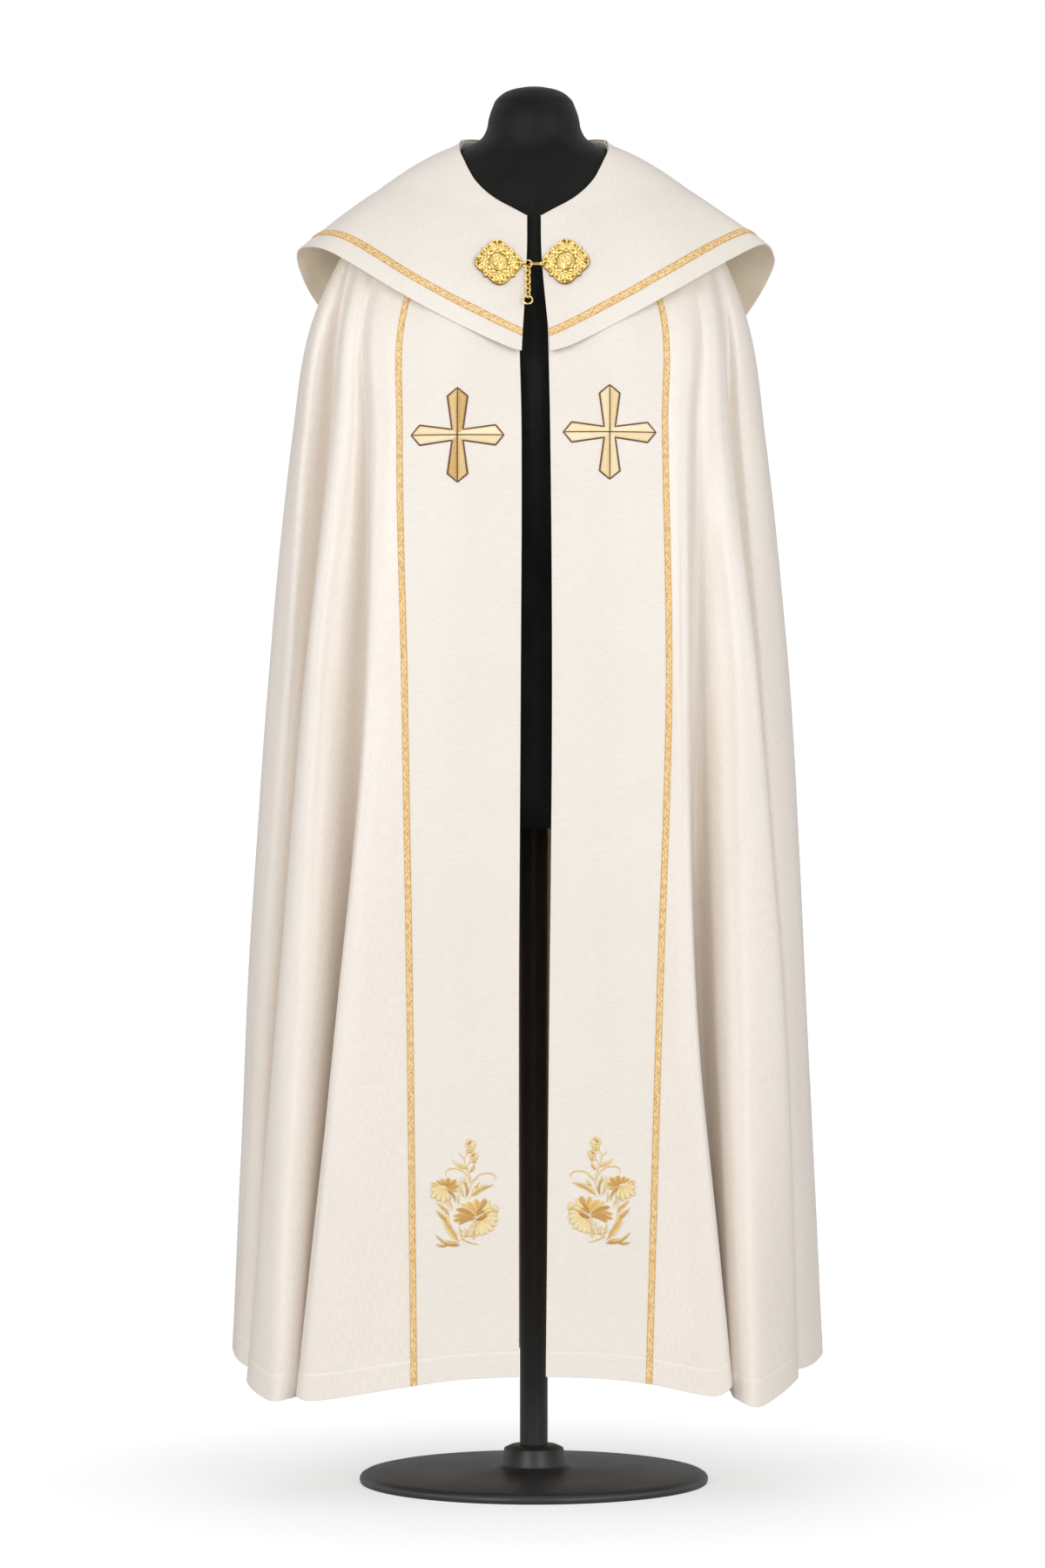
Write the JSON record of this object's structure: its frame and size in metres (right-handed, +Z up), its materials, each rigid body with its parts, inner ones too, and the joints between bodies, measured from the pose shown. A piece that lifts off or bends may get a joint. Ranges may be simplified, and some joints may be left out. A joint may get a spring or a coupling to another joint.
{
  "type": "cope vestment on dress form",
  "caption": "Long open cope with a shoulder cape, gold braid, embroidered front bands and a ring clasp, worn by a limbless dress form on a round stand.",
  "frame": {"origin": "middle of the underside of the stand's round base", "axes": "+Z up along the pole, -Y out of the front opening, -X towards the wearer's right hand"},
  "size_m": [0.6816, 0.4659, 1.599],
  "materials": {
    "ivory_silk": "slubbed silk with a soft sheen, lined",
    "ivory_silk_side": "slubbed silk with a soft sheen, lined",
    "gold_braid": "woven metallic thread",
    "gold_thread": "padded satin stitch in metallic thread",
    "gilt_metal": "cast and polished, gilt",
    "black_satin": "stretched satin cover over a padded body",
    "black_steel": "satin black paint"
  },
  "bodies": {
    "cope_and_form": {"orphrey_left": "ivory_silk", "orphrey_right": "ivory_silk", "cape": "ivory_silk", "side_left": "ivory_silk_side", "side_right": "ivory_silk_side", "back": "ivory_silk_side", "galloon_cape": "gold_braid", "galloon_left": "gold_braid", "galloon_right": "gold_braid", "cross_left": "gold_thread", "cross_right": "gold_thread", "clasp_plate_left": "gilt_metal", "clasp_plate_right": "gilt_metal", "clasp_eye_left": "gilt_metal", "clasp_eye_right": "gilt_metal", "clasp_oval": "gilt_metal", "clasp_ring": "gilt_metal", "form_torso": "black_satin", "form_pole": "black_steel", "form_base": "black_steel"},
    "chain_tail": {"chain_link_1": "gilt_metal", "chain_link_2": "gilt_metal", "chain_link_3": "gilt_metal", "chain_link_4": "gilt_metal", "chain_link_5": "gilt_metal", "chain_link_6": "gilt_metal", "chain_link_7": "gilt_metal", "chain_end_ring": "gilt_metal"}
  },
  "joints": [
    {"name": "chain_swing", "type": "hinge", "parent": "cope_and_form", "child": "chain_tail", "pos_m": [-0.0069, -0.11827, 1.38543], "axis": [0, -0.913, 0.408], "range_deg": [-25, 25]}
  ]
}
